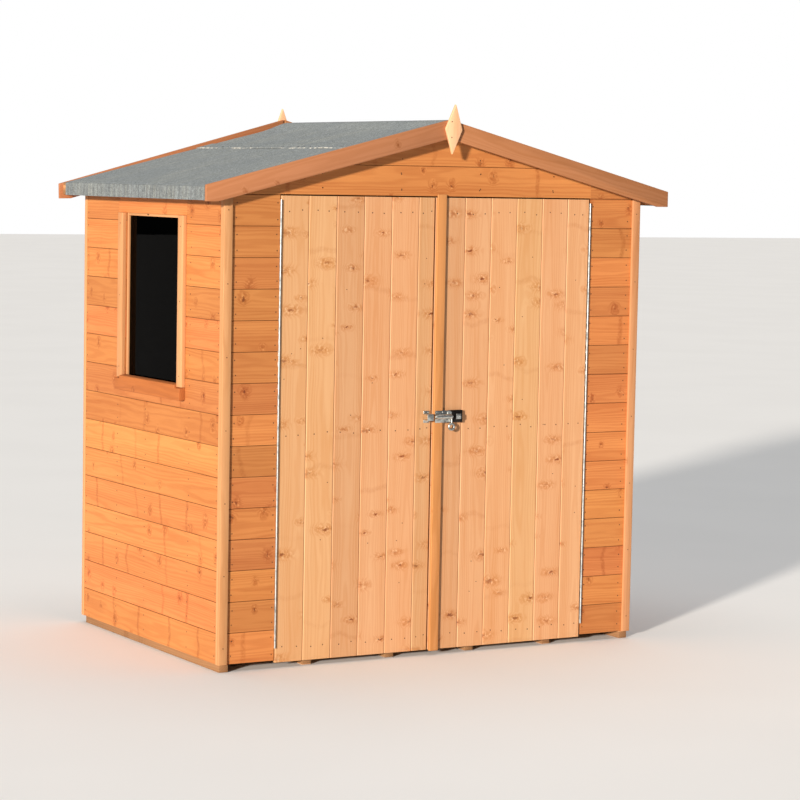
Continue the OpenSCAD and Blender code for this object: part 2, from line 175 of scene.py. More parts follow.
def timber(name, light, dark, knots=0.5, knot_size=(7, 13), slant=(1.2, 0.95), whorl=0.0,
           groove=0.0, tint=0.16, roughness=0.62, grit=0.25):
    """Softwood: growth rings cut by the face, long streaks, knots that the grain bends round.
    It reads two attributes: grain (along, across, depth, in metres) and board (three random numbers).
    knots is the share of 150 mm cells that hold one, knot_size their smallest and largest radius in mm,
    slant how far they are squeezed along and across, and whorl the strength of the yearly lines. groove
    is how much darker the wood is below its face, in joints and on edges; below zero it is paler."""
    material, node = blank(name)
    grain = node("SeparateXYZ", {0: node("Attribute", attribute_name="grain").outputs["Vector"]})
    along, across, depth = grain.outputs
    marks = node("SeparateXYZ", {0: node("Attribute", attribute_name="board").outputs["Vector"]})
    r1, r2, r3 = marks.outputs
    # every board shows its own stretch of the patterns
    own = node("Math", {0: r1, 1: 9.0, 2: across}, operation="MULTIPLY_ADD")
    face = node("CombineXYZ", {0: along, 1: own})

    # knots: one point in each 150 mm cell of the face, and only some of them grow a knot
    cell = 0.15
    wobble = node("TexNoise", {"Vector": face, "Scale": 48.0, "Detail": 3.0, "Roughness": 0.6})
    wobbled = node("VectorMath", {0: wobble.outputs["Color"], 1: (0.024, 0.034, 0.0), 2: face},
                   operation="MULTIPLY_ADD")
    # a branch is cut at a slant, so its knot is wider across the board than along it
    slanted = node("VectorMath", {0: wobbled, 1: (*slant, 0)}, operation="MULTIPLY")
    points = node("TexVoronoi", {"Vector": slanted, "Scale": 1 / cell}, voronoi_dimensions="2D")
    # three random numbers for each cell: whether a knot grows, how large, and how dark
    lot = node("SeparateColor", {0: points.outputs["Color"]})
    grown = node("Math", {0: lot.outputs[0], 1: knots}, operation="LESS_THAN")
    radius = node("MapRange", {0: lot.outputs[1], 3: knot_size[0] * MM, 4: knot_size[1] * MM})
    sound = node("MapRange", {0: lot.outputs[2], 1: 0.25, 2: 0.9, 3: 0.25, 4: 1.0})
    distance = node("Math", {0: points.outputs["Distance"], 1: cell}, operation="MULTIPLY")
    ratio = node("Math", {0: distance, 1: radius}, operation="DIVIDE")
    zones = []
    # the heart, the swelling that bends the grain, and the torn halo, in radii of the knot
    for outer, inner, fade in ((0.8, 0.35, "SMOOTHSTEP"), (4.5, 0.5, "SMOOTHERSTEP"),
                               (3.2, 0.8, "SMOOTHSTEP")):
        zone = node("MapRange", {0: ratio, 1: outer, 2: inner}, interpolation_type=fade)
        zones.append(node("Math", {0: zone, 1: grown}, operation="MULTIPLY"))
    heart, swell, halo = zones
    heart = node("Math", {0: heart, 1: sound}, operation="MULTIPLY")
    torn = node("TexNoise", {"Vector": face, "Scale": 85.0, "Detail": 3.0, "Roughness": 0.65})

    # whorls: every 260 mm or so the branches leave a soft brown line right across the board
    yearly = 0.26
    stretched = node("VectorMath", {0: face, 1: (3.0, 10.0, 0.0)}, operation="MULTIPLY")
    sway = node("TexNoise", {"Vector": stretched, "Scale": 1.0, "Detail": 1.0})
    place = node("Math", {0: r1, 1: 11.0, 2: along}, operation="MULTIPLY_ADD")
    place = node("Math", {0: sway, 1: 0.07, 2: place}, operation="MULTIPLY_ADD")
    lines = node("TexVoronoi", {"W": place, "Scale": 1 / yearly}, voronoi_dimensions="1D")
    line = node("MapRange", {0: lines.outputs["Distance"], 1: 0.055, 2: 0.008},
                interpolation_type="SMOOTHSTEP")
    chance = node("SeparateColor", {0: lines.outputs["Color"]})
    for share in (node("MapRange", {0: chance.outputs[0], 1: 0.35, 2: 0.8, 4: whorl}),
                  node("MapRange", {0: torn, 1: 0.35, 2: 0.6, 3: 0.25})):
        line = node("Math", {0: line, 1: share}, operation="MULTIPLY")

    # growth rings: the distance from the heart of the tree, which lies 20 to 90 mm behind the face
    side = node("Math", {0: across, 1: 0.055}, operation="SUBTRACT")
    side = node("Math", {0: r1, 1: 0.11, 2: side}, operation="MULTIPLY_ADD")
    below = node("Math", {0: r2, 1: 0.07, 2: node("Math", {0: depth, 1: 0.02})},
                 operation="MULTIPLY_ADD")
    rings = node("VectorMath", {0: node("CombineXYZ", {0: side, 1: below})}, operation="LENGTH")
    stretched = node("VectorMath", {0: face, 1: (1.1, 9.0, 0.0)}, operation="MULTIPLY")
    drift = node("TexNoise", {"Vector": stretched, "Scale": 1.0, "Detail": 3.0, "Roughness": 0.55})
    bent = node("Math", {0: drift, 1: 0.045, 2: rings.outputs["Value"]}, operation="MULTIPLY_ADD")
    bent = node("Math", {0: swell, 1: -0.010, 2: bent}, operation="MULTIPLY_ADD")
    # rings 7 mm apart, wider than real ones so that they show
    phase = node("Math", {0: bent, 1: 2 * math.pi / 0.007}, operation="MULTIPLY")
    wave = node("MapRange", {0: node("Math", {0: phase}, operation="SINE"), 1: -0.6, 2: 1.0},
                interpolation_type="SMOOTHSTEP")

    # long tonal streaks some 30 mm wide, and fibres 2 mm wide
    lengthwise = node("CombineXYZ", {0: node("Math", {0: along, 1: 0.9}, operation="MULTIPLY"),
                                     1: node("Math", {0: bent, 1: 34.0, 2: own},
                                             operation="MULTIPLY_ADD")})
    streaks = node("TexNoise", {"Vector": lengthwise, "Scale": 1.0, "Detail": 4.0, "Roughness": 0.6})
    solid = node("CombineXYZ", {0: along, 1: own, 2: depth})
    threads = node("VectorMath", {0: solid, 1: (9.0, 420.0, 420.0)}, operation="MULTIPLY")
    fibre = node("TexNoise", {"Vector": threads, "Scale": 1.0, "Detail": 2.0})
    # how far rings, streaks, fibres and the swelling at a knot turn the light wood dark
    amount = node("Math", {0: wave, 1: 0.55 * 0.45}, operation="MULTIPLY")
    for pattern, share in ((node("MapRange", {0: streaks, 1: 0.34, 2: 0.68}), 0.45),
                           (node("MapRange", {0: fibre, 1: 0.3, 2: 0.7}), 0.16), (swell, 0.35)):
        amount = node("Math", {0: pattern, 1: share, 2: amount}, operation="MULTIPLY_ADD",
                      use_clamp=pattern is swell)
    wood = node("Mix", {0: amount, 6: rgba(light), 7: rgba(dark)}, data_type="RGBA")

    # torn grain round a knot: stained brown on one side, resin-pale on the other
    brown, cream = (node("Math", {0: halo, 1: node("MapRange", {0: torn, 1: start, 2: full, 4: most},
                                                   interpolation_type="SMOOTHSTEP")},
                         operation="MULTIPLY")
                    for start, full, most in ((0.47, 0.6, 0.7), (0.46, 0.34, 0.75)))
    brown = node("Math", {0: brown, 1: line}, operation="MAXIMUM")
    ochre = tuple(c * k for c, k in zip(dark, (0.78, 0.66, 0.5)))
    resin = tuple(min(1.0, c * k) for c, k in zip(light, (1.12, 1.25, 1.4)))
    for mask, colour in ((brown, ochre), (cream, resin), (heart, colours().knot)):
        wood = node("Mix", {0: mask, 6: wood, 7: rgba(colour)}, data_type="RGBA")

    # each board has its own depth of stain and warmth
    tone = node("MapRange", {0: r3, 3: 1 - tint, 4: 1 + tint * 0.6})
    warm = node("MapRange", {0: r2, 3: 0.493, 4: 0.502})
    wood = node("HueSaturation", {"Hue": warm, "Value": tone, "Color": wood})
    if groove:
        # painted shade, with some dirt: the wood is darker in the joints and on edges below its face; a
        # groove below zero paints a highlight there instead
        dim = node("MapRange", {0: depth, 1: 0.8 * MM, 2: 3.5 * MM, 3: 1.0, 4: 1 - groove})
        wood = node("VectorMath", {0: wood, "Scale": dim}, operation="SCALE")
    relief = node("Math", {0: wave, 1: 0.35, 2: fibre}, operation="MULTIPLY_ADD")
    bump = node("Bump", {"Height": relief, "Strength": grit, "Distance": 0.6 * MM})
    sheen = node("MapRange", {0: fibre, 3: roughness - 0.08, 4: roughness + 0.1})
    surface = node("BsdfPrincipled", {"Base Color": wood, "Roughness": sheen, "IOR": 1.5,
                                      "Specular IOR Level": 0.35, "Normal": bump})
    node("OutputMaterial", {"Surface": surface})
    return material


def mineral_felt():
    """Bitumen felt with crushed slate grit: matt, grey-green, and speckled at 2 to 4 mm."""
    material, node = blank("mineral roofing felt")
    place = node("TexCoord").outputs["Object"]
    # grit of 1 mm, drawn as 3 mm specks so that it shows
    grit = node("TexVoronoi", {"Vector": place, "Scale": 330.0})
    cloud = node("TexNoise", {"Vector": place, "Scale": 7.0, "Detail": 5.0, "Roughness": 0.6})
    fine = node("TexNoise", {"Vector": place, "Scale": 90.0, "Detail": 3.0})
    # drawn-out noises: runs of water down the slope, streaks of painted shade on the turned edge, and dashes
    # of painted glint along the lap
    runs, eave_streaks, glint_dashes = (
        node("TexNoise", {"Vector": node("VectorMath", {0: place, 1: scale}, operation="MULTIPLY"),
                          "Scale": 1.0, "Detail": detail})
        for scale, detail in (((2.0, 55.0, 2.0), 3.0), ((0.0, 110.0, 9.0), 3.0),
                              ((30.0, 42.0, 30.0), 2.0)))
    # the runs leave pale lines
    worn = node("Math", {0: node("MapRange", {0: cloud, 1: 0.35, 2: 0.7}),
                         1: node("MapRange", {0: runs, 1: 0.4, 2: 0.7})}, operation="MULTIPLY")
    base = node("Mix", {0: worn, 6: rgba(colours().felt), 7: rgba(colours().felt_pale)},
                data_type="RGBA")
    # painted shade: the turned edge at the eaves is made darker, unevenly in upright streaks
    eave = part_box("felt_right")[1].x
    across = node("Math", {0: node("SeparateXYZ", {0: place})}, operation="ABSOLUTE")
    flap = node("MapRange", {0: across, 1: eave - 8 * MM, 2: eave - 2 * MM})
    eave_shade = node("MapRange", {0: eave_streaks, 1: 0.36, 2: 0.64, 3: 0.6, 4: 0.95})
    shaded_eave = node("VectorMath", {0: base, "Scale": eave_shade}, operation="SCALE")
    base = node("Mix", {0: flap, 6: base, 7: shaded_eave}, data_type="RGBA")
    # painted highlight: pale dashes of glint along the lap's edge
    lap = sizes().lap * math.cos(PITCH)
    lap_glints = node("MapRange", {0: glint_dashes, 1: 0.5, 2: 0.6, 4: 0.75})
    for start, full in ((-8, -5), (3, 1)):
        edge = node("MapRange", {0: across, 1: lap + start * MM, 2: lap + full * MM})
        lap_glints = node("Math", {0: lap_glints, 1: edge}, operation="MULTIPLY")
    base = node("Mix", {0: lap_glints, 6: base, 7: rgba(linear("#D6D2C8"))}, data_type="RGBA")
    speck = node("SeparateColor", {0: grit.outputs["Color"]})
    tone = node("Math", {0: node("MapRange", {0: speck.outputs[0], 3: 0.62, 4: 1.3}),
                         1: node("MapRange", {0: fine, 1: 0.3, 2: 0.7, 3: 0.85, 4: 1.12})},
                operation="MULTIPLY")
    base = node("VectorMath", {0: base, "Scale": tone}, operation="SCALE")
    bump = node("Bump", {"Height": grit.outputs["Distance"], "Strength": 0.5, "Distance": 0.8 * MM})
    surface = node("BsdfPrincipled", {"Base Color": base, "Roughness": 0.92, "IOR": 1.5,
                                      "Specular IOR Level": 0.25, "Normal": bump})
    node("OutputMaterial", {"Surface": surface})
    return material


def plated_steel(name, colour, dull, roughness, spots):
    """Plated steel: a bright metal with cloudy dull spangles and fine scratches."""
    material, node = blank(name)
    place = node("TexCoord").outputs["Object"]
    # spangles 6 mm across, in clouds some 20 mm wide
    spangle = node("TexVoronoi", {"Vector": place, "Scale": 160.0})
    cloud = node("TexNoise", {"Vector": place, "Scale": 45.0, "Detail": 4.0})
    lot = node("SeparateColor", {0: spangle.outputs["Color"]})
    mask = node("Math", {0: node("MapRange", {0: cloud, 1: 0.42, 2: 0.66}),
                         1: node("MapRange", {0: lot.outputs[0], 3: 0.35, 4: spots})},
                operation="MULTIPLY")
    base = node("Mix", {0: mask, 6: rgba(colour), 7: rgba(dull)}, data_type="RGBA")
    rough = node("MapRange", {0: mask, 3: roughness, 4: roughness + 0.25})
    bump = node("Bump", {"Height": cloud, "Strength": 0.15, "Distance": 0.3 * MM})
    surface = node("BsdfPrincipled", {"Base Color": base, "Metallic": 1.0, "Roughness": rough,
                                      "Normal": bump})
    node("OutputMaterial", {"Surface": surface})
    return material


def nail_steel():
    """Bright wire nails gone dull: small, dark, slightly rusty heads."""
    material, node = blank("weathered wire nails")
    # the rust comes in 80 mm clouds, so each head has one shade of it and few neighbours match
    place = node("TexCoord").outputs["Object"]
    cloud = node("TexNoise", {"Vector": place, "Scale": 12.0, "Detail": 2.0})
    base = node("Mix", {0: node("MapRange", {0: cloud, 1: 0.4, 2: 0.6}), 6: rgba(linear("#3A2A20")),
                        7: rgba(linear("#5B3A24"))}, data_type="RGBA")
    surface = node("BsdfPrincipled", {"Base Color": base, "Metallic": 0.4, "Roughness": 0.6})
    node("OutputMaterial", {"Surface": surface})
    return material


def glazing():
    """Clear styrene sheet: glossy, with a few dusty streaks; its near-black tint is painted shade for the
    dark inside, and its reflections are tinted brown, a painted reflection.
    """
    material, node = blank("clear styrene glazing")
    place = node("TexCoord").outputs["Object"]
    dust = node("TexNoise", {"Vector": place, "Scale": 14.0, "Detail": 4.0})
    rough = node("MapRange", {0: dust, 1: 0.45, 2: 0.75, 3: 0.0, 4: 0.03})
    # painted shade: the pane is tinted near black for the dark inside of the shed
    base = node("Mix", {0: node("MapRange", {0: dust, 1: 0.4, 2: 0.7}), 6: rgba(linear("#120D0B")),
                        7: rgba(linear("#1C1512"))}, data_type="RGBA")
    # the IOR is far below styrene's, so that the pale floor doesn't show in it
    # painted reflection: the specular tint makes the reflections brown
    surface = node("BsdfPrincipled", {"Base Color": base, "Transmission Weight": 1.0, "IOR": 1.06,
                                      "Specular IOR Level": 0.15, "Roughness": rough,
                                      "Specular Tint": rgba(linear("#B07048"))})
    node("OutputMaterial", {"Surface": surface})
    return material


def studio_paint():
    """Matt paint on the studio floor, with a barely visible unevenness."""
    material, node = blank("matt studio floor")
    place = node("TexCoord").outputs["Object"]
    cloud = node("TexNoise", {"Vector": place, "Scale": 0.8, "Detail": 2.0})
    pale = colours().floor
    base = node("Mix", {0: node("MapRange", {0: cloud, 1: 0.4, 2: 0.6}), 6: rgba(pale),
                        7: rgba(0.985 * c for c in pale)}, data_type="RGBA")
    surface = node("BsdfPrincipled", {"Base Color": base, "Roughness": 0.9, "Specular IOR Level": 0.1})
    node("OutputMaterial", {"Surface": surface})
    return material


MATERIALS = {}


def material(key):
    """Each finish is made once, the first time that a piece asks for it."""
    if key not in MATERIALS:
        c = colours()
        makers = {
            # planed and dipped pine: warm orange-gold, satin, with its joints darkened by painted shade and
            # some dirt
            "wall": lambda: timber("dipped pine shiplap", c.wall, c.wall_dark, groove=0.6, knots=0.6,
                                   knot_size=(5, 10), whorl=0.6),
            # pine kept paler: honey, with lively knots
            "door": lambda: timber("planed pine door boards", c.door, c.door_dark, knots=0.85,
                                   knot_size=(6, 13), tint=0.08, whorl=0.3, slant=(1.5, 0.6)),
            # clean planed battens with soft corners
            "trim": lambda: timber("planed pine trim", c.trim, c.trim_dark, knots=0.15, tint=0.08,
                                   knot_size=(3, 6)),
            # one dark batten from another batch: dull brown front; its edges below the face are painted
            # paler, a painted highlight
            "strip": lambda: timber("planed pine cover strip", c.strip, c.strip_dark, knots=0.2, tint=0.04,
                                    knot_size=(3, 6), groove=-0.4),
            # end of the dip tank: brown, with open pores
            "sill": lambda: timber("dipped pine sill", c.sill, c.sill_dark, knots=0.3, tint=0.04,
                                   knot_size=(3, 6), roughness=0.7),
            "barge": lambda: timber("planed pine bargeboard", c.barge, c.barge_dark, knots=0.3,
                                    knot_size=(4, 8), tint=0.08),
            # finials left almost bare: pale pink-cream pine
            "finial": lambda: timber("bare pine finial", linear("#F0C096"), linear("#D8A070"), knots=0.1,
                                     knot_size=(2, 3), tint=0.04),
            # sawn timber: furry and dull, with painted shade and some dirt in its joints
            "raw": lambda: timber("sawn spruce framing", c.raw, c.raw_dark, roughness=0.8, grit=0.6,
                                  groove=0.5, knots=0.4),
            "felt": mineral_felt,
            "zinc": lambda: plated_steel("bright zinc plate", c.zinc, linear("#63686A"), 0.32, 0.95),
            "hinge": lambda: plated_steel("galvanised hinge steel", c.steel, linear("#7F8485"), 0.36, 0.9),
            # painted reflection: a zinc part given a dark colour for the dark that it reflects
            "dark": lambda: plated_steel("zinc painted dark as a reflection", linear("#3B3836"), linear("#1E1C1B"),
                                         0.42, 0.9),
            "nail": nail_steel,
            "pane": glazing,
            "floor": studio_paint,
        }
        MATERIALS[key] = makers[key]()
    return MATERIALS[key]


# ---- Shared modelling steps ----

def timber_mesh(bm=None):
    """A bmesh, new or given, with room for the grain of its lengths of timber."""
    bm = bm or bmesh.new()
    for name in ("grain", "board"):
        bm.verts.layers.float_vector.new(name)
    return bm


def facing(at, out):
    """Where a shape that was made along Z has to go, to stand at a point and face out."""
    return Matrix.Translation(at) @ out.to_track_quat("Z", "Y").to_matrix().to_4x4()


def edges_of(verts):
    """The edges at some vertices, each once, and always in the same order."""
    return list(dict.fromkeys(e for v in verts for e in v.link_edges))


def round_off(bm, edges, arris, segments):
    """Rounds edges off, arris metres wide on each side."""
    bmesh.ops.bevel(bm, geom=edges, offset=arris, offset_type="OFFSET", segments=segments, profile=0.5,
                    affect="EDGES", clamp_overlap=True, material=-1)


def mark_grain(bm, verts, along, across, out, origin, marks, shift):
    """Writes how far each vertex lies along, across and below the face of its length of timber."""
    grain, board = (bm.verts.layers.float_vector[name] for name in ("grain", "board"))
    for v in verts:
        r = v.co - origin
        v[grain] = Vector((r.dot(along) + shift, r.dot(across), -r.dot(out)))
        v[board] = marks


def draw_marks(rng):
    """The random look of one length of timber: its three numbers, and its place along the tree in m."""
    return Vector((rng.random(), rng.random(), rng.random())), rng.uniform(0, 40)


def pour(stack, bm):
    """Moves one bmesh into another."""
    mesh = bpy.data.meshes.new("length")
    bm.to_mesh(mesh)
    bm.free()
    stack.from_mesh(mesh)
    bpy.data.meshes.remove(mesh)


def cut(bm, at, away):
    """Saws everything off on the side that away points to, and closes the cut."""
    done = bmesh.ops.bisect_plane(bm, geom=bm.verts[:] + bm.edges[:] + bm.faces[:], dist=1e-6,
                                  plane_co=at, plane_no=away, clear_outer=True)
    rim = [e for e in done["geom_cut"] if isinstance(e, bmesh.types.BMEdge)]
    if rim:
        bmesh.ops.holes_fill(bm, edges=rim, sides=0)


def board(stack, start, along, across, out, run, cover, marks, thick=BOARD_T, joint=0.0, arris=0.0,
          tongue=True, groove=True, cuts=()):
    """One tongued and grooved board. start is the corner on its outer face, at the grooved edge."""
    low = joint / 2 if groove else 0.0
    high = cover - joint / 2 if tongue else cover
    # the tongue lies between t1 and t2 below the face, and reaches 3.6 mm past the open joint
    t1, t2, tip = -0.4 * thick, -0.66 * thick, joint + 3.6 * MM
    outline = [(0, low + arris), (0, high - arris), (-arris, high)]
    if tongue:
        outline += [(t1, high), (t1, high + tip), (t2, high + tip), (t2, high)]
    outline += [(-thick, high), (-thick, low)]
    if groove:
        # room for the tongue: 0.4 mm at its tip and 0.1 mm at each side
        slot, slack = tip + 0.4 * MM - joint, 0.1 * MM
        outline += [(t2 - slack, low), (t2 - slack, low + slot), (t1 + slack, low + slot),
                    (t1 + slack, low)]
    outline += [(-arris, low)]
    bm = timber_mesh()
    face = bm.faces.new([bm.verts.new(start + out * o + across * u) for o, u in outline])
    grown = bmesh.ops.extrude_face_region(bm, geom=[face])["geom"]
    bmesh.ops.translate(bm, verts=[v for v in grown if isinstance(v, bmesh.types.BMVert)],
                        vec=along * run)
    for at, away in cuts:
        if bm.verts:
            cut(bm, at, away)
    if not bm.verts:
        bm.free()
        return
    bmesh.ops.recalc_face_normals(bm, faces=bm.faces[:])
    look, shift = marks
    mark_grain(bm, bm.verts, along, across, out, start + across * cover / 2, look,
               shift - start.dot(along))
    pour(stack, bm)


def finished(name, bm, key, body, slot, instead=(), smooth=None):
    """Turns a bmesh into a piece: its material, its body, and the frame nodes it stands for. Its slot is not
    used.
    """
    mesh = bpy.data.meshes.new(name)
    bm.to_mesh(mesh)
    bm.free()
    mesh.materials.append(material(key))
    piece = bpy.data.objects.new(name, mesh)
    bpy.context.scene.collection.objects.link(piece)
    if smooth is not None:
        mesh.shade_smooth()
        mesh.set_sharp_from_angle(angle=math.radians(smooth))
    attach(piece, body)
    if instead:
        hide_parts(*instead)
    return piece


def merged_copy(*nodes):
    """A copy of frame nodes with their loose triangles joined into plain faces."""
    bm = bmesh.new()
    for node in nodes:
        bm.from_mesh(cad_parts[node].data)
    bmesh.ops.remove_doubles(bm, verts=bm.verts[:], dist=1e-5)
    bmesh.ops.dissolve_limit(bm, angle_limit=math.radians(1), verts=bm.verts[:], edges=bm.edges[:])
    return bm


def ease(bm, arris, segments=2, over=25):
    """Rounds every corner sharper than over degrees."""
    sharp = [e for e in bm.edges if len(e.link_faces) == 2 and e.calc_face_angle() > math.radians(over)]
    round_off(bm, sharp, arris, segments)


def islands(bm):
    """The separate lumps of a bmesh, each as a list of vertices."""
    left = set(bm.verts)
    while left:
        seed = next(v for v in bm.verts if v in left)
        lump, reached = {seed}, [seed]
        while reached:
            v = reached.pop()
            for e in v.link_edges:
                other = e.other_vert(v)
                if other not in lump:
                    lump.add(other)
                    reached.append(other)
        left -= lump
        yield [v for v in bm.verts if v in lump]


def members(name, nodes, key, body, slot, seed, arris, segments=2, hang=None, leg=None):
    """Battens and boards copied from the frame, corners eased, with the grain along each one.
    hang turns them from the frame's place, and leg gives two corners of a strip added to them."""
    rng = random.Random(seed)
    bm = timber_mesh(merged_copy(*nodes))
    if hang:
        bmesh.ops.transform(bm, matrix=hang, verts=bm.verts[:])
    ease(bm, arris, segments)
    if leg:
        box_at(bm, *leg, 0.4 * MM)
    for lump in islands(bm):
        points = np.array([v.co for v in lump])
        middle = points.mean(0)
        # its own axes, from the longest to the shortest
        axes = np.linalg.eigh(np.cov((points - middle).T))[1]
        along, across, out = (Vector(axes[:, i]) for i in (2, 1, 0))
        depth = max(abs((v.co - Vector(middle)).dot(out)) for v in lump)
        look, shift = draw_marks(rng)
        mark_grain(bm, lump, along, across, out, Vector(middle) + out * depth, look, shift)
    return finished(name, bm, key, body, slot, nodes, smooth=40)


def box_at(bm, corner, opposite, arris=0.0, segments=1):
    """A block between two opposite corners, with its edges eased."""
    low, high = (Vector(tuple(map(pick, corner, opposite))) for pick in (min, max))
    made = bmesh.ops.create_cube(bm, size=1)["verts"]
    bmesh.ops.scale(bm, vec=high - low, verts=made)
    bmesh.ops.translate(bm, vec=(low + high) / 2, verts=made)
    if arris:
        round_off(bm, edges_of(made), arris, segments)


def rod(bm, a, b, radius, sides=24, ends=0.0):
    """A round bar from a to b, with its ends rounded off."""
    a, b = Vector(a), Vector(b)
    made = bmesh.ops.create_cone(bm, cap_ends=True, segments=sides, radius1=radius, radius2=radius,
                                 depth=(b - a).length, matrix=facing((a + b) / 2, b - a))["verts"]
    if ends:
        rims = [e for e in edges_of(made)
                if abs((e.verts[0].co - e.verts[1].co).dot((b - a).normalized())) < 1e-7]
        round_off(bm, rims, ends, 3)


def head(bm, at, out, radius, rise, sides=8):
    """One low nail head on a surface facing out. It tapers, and starts 1.2 mm below the surface."""
    sunk = 1.2 * MM
    bmesh.ops.create_cone(bm, cap_ends=True, segments=sides, radius1=radius, radius2=radius * 0.72,
                          depth=rise + sunk, matrix=facing(at + out * (rise - sunk) / 2, out))


def screw(bm, at, out, radius):
    """The low domed head of a screw or rivet, on a surface facing out."""
    bmesh.ops.create_uvsphere(bm, u_segments=20, v_segments=10, radius=radius,
                              matrix=facing(at, out) @ Matrix.Diagonal((1, 1, 0.45, 1)))


# ---- Operators ----

def gable_cuts():
    """The two saw cuts that bring boards to the underside of the roof."""
    peak = Vector((0, 0, UNDER_Z))
    return [(peak, ROOF_UP), (peak, Vector((-ROOF_UP.x, 0, ROOF_UP.z)))]


def courses(top):
    """The bottom height of each course of wall boards."""
    cover = sizes().cover
    return [WALL_Z + i * cover for i in range(math.ceil((top - WALL_Z) / cover))]


def wall_board(stack, marks, out, z, start, end, cuts):
    """A wall board from start to end, two points on the wall's face."""
    run, s = end - start, sizes()
    board(stack, Vector((start.x, start.y, z)), run.normalized(), Z, out, run.length, s.cover, marks,
          joint=s.wall_joint, arris=s.wall_arris, groove=z > WALL_Z + MM, cuts=cuts)


class SHED_OT_walls(bpy.types.Operator):
    """Lay the shiplap boards of the four walls, course by course"""
    bl_idname = "shed.walls"
    bl_label = "Wall boards"

    def execute(self, context):
        rng = random.Random(11)
        inner = HALF_W - BOARD_T
        # front: a column each side of the doorway, and full boards in the gable
        front = timber_mesh()
        slopes = gable_cuts()
        for z in courses(UNDER_Z):
            over = z + sizes().cover > HEAD_Z + 5 * MM
            spans = [(-inner, -DOOR_X), (DOOR_X, inner)]
            if over and z < HEAD_Z:
                spans.insert(1, (-DOOR_X, DOOR_X))
            elif over:
                spans = [(-inner, inner)]
            for x0, x1 in spans:
                cuts = slopes
                if over and z < HEAD_Z and x0 > -inner and x1 < inner:
                    cuts = slopes + [(Vector((0, 0, HEAD_Z)), -Z)]
                wall_board(front, draw_marks(rng), -Y, z, Vector((x0, -HALF_D, 0)),
                           Vector((x1, -HALF_D, 0)), cuts)
        finished("front_boards", front, "wall", "shed", "wall_boards",
                 ("front_panel_left", "front_panel_right", "front_gable"))
        back = timber_mesh()
        for z in courses(UNDER_Z):
            wall_board(back, draw_marks(rng), Y, z, Vector((-inner, HALF_D, 0)),
                       Vector((inner, HALF_D, 0)), slopes)
        finished("back_boards", back, "wall", "shed", "wall_boards", ("back_wall",))
        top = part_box("right_wall")[1].z
        right = timber_mesh()
        for z in courses(top):
            wall_board(right, draw_marks(rng), X, z, Vector((HALF_W, -HALF_D, 0)),
                       Vector((HALF_W, HALF_D, 0)), slopes)
        finished("right_boards", right, "wall", "shed", "wall_boards", ("right_wall",))
        # left: round the window frame, and round the board over it
        gap_lo, gap_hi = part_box("window_frame")
        over_lo, over_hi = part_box("window_head")
        slack = 0.6 * MM    # at each end of that board
        left = timber_mesh()
        for z in courses(top):
            marks = draw_marks(rng)
            high = z + sizes().cover
            spans = [(-HALF_D, HALF_D, [])]
            if high > over_lo.z:
                spans = [(-HALF_D, over_lo.y, []), (over_hi.y, HALF_D, [])]
                if z < over_lo.z:
                    trim = [(Vector((0, 0, over_lo.z)), Z)]
                    spans += [(over_lo.y, gap_lo.y, trim), (gap_hi.y, over_hi.y, trim)]
            elif high > gap_lo.z:
                spans = [(-HALF_D, gap_lo.y, []), (gap_hi.y, HALF_D, [])]
                if z < gap_lo.z:
                    spans += [(gap_lo.y, gap_hi.y, [(Vector((0, 0, gap_lo.z)), Z)])]
            for y0, y1, extra in spans:
                wall_board(left, marks, -X, z, Vector((-HALF_W, y0, 0)), Vector((-HALF_W, y1, 0)),
                           slopes + extra)
        board(left, Vector((-HALF_W, over_lo.y + slack, over_lo.z)), Y, Z, -X,
              over_hi.y - over_lo.y - 2 * slack, over_hi.z - over_lo.z, draw_marks(rng),
              arris=sizes().wall_arris, tongue=False, groove=False, cuts=slopes)
        finished("left_boards", left, "wall", "shed", "wall_boards", ("left_wall", "window_head"))
        return {"FINISHED"}


# where one board of a leaf meets the next, in mm from the middle of the shed
LEFT_SEAMS = (-553, -437, -322, -206.5, -91)
RIGHT_SEAMS = (110, 224.75, 339.5, 454.25, 569)


def door_edges(node):
    """Where the boards of one leaf start and end, across the door."""
    low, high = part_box(node)
    seams = LEFT_SEAMS if node.startswith("left") else RIGHT_SEAMS
    return [low.x, *(x * MM for x in seams), high.x]


class SHED_OT_doors(bpy.types.Operator):
    """Lay the upright boards of both door leaves, with their ledges, braces and cover strip"""
    bl_idname = "shed.doors"
    bl_label = "Door leaves"

    def execute(self, context):
        s = sizes()
        for side, seed in (("left", 21), ("right", 22)):
            rng = random.Random(seed)
            node = side + "_door"
            low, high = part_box(node)
            edges = door_edges(node)
            stack = timber_mesh()
            for i, (x0, x1) in enumerate(zip(edges, edges[1:])):
                board(stack, Vector((x0, -HALF_D, low.z)), Z, X, -Y, high.z - low.z, x1 - x0,
                      draw_marks(rng), joint=s.door_joint, arris=s.door_arris,
                      tongue=i < len(edges) - 2, groove=i > 0)
            finished(node + "_boards", stack, "door", side + "_leaf", "door_boards", (node,))
            members(node + "_ledge_set", (node + "_ledges",), "raw", side + "_leaf", "frame_timber",
                    seed + 10, 1.0 * MM)
        members("cover_strip_planed", ("cover_strip",), "strip", "right_leaf", "trim_timber", 35,
                s.trim_arris * 1.3, 3)
        return {"FINISHED"}


# degrees that the back bargeboards are steeper than the roof, and that each finial leans to the right
BACK_BARGE_TILT = 1.3
FINIAL_LEANS = (("front", 3.7), ("back", 0.0))


def hung(node, degrees, shift=0.0):
    """How a piece hangs that was nailed on a little crooked: turned about its middle, and shifted."""
    low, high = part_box(node)
    middle = (low + high) / 2
    return (Matrix.Translation(middle + X * shift) @ Matrix.Rotation(math.radians(degrees), 4, "Y")
            @ Matrix.Translation(-middle))


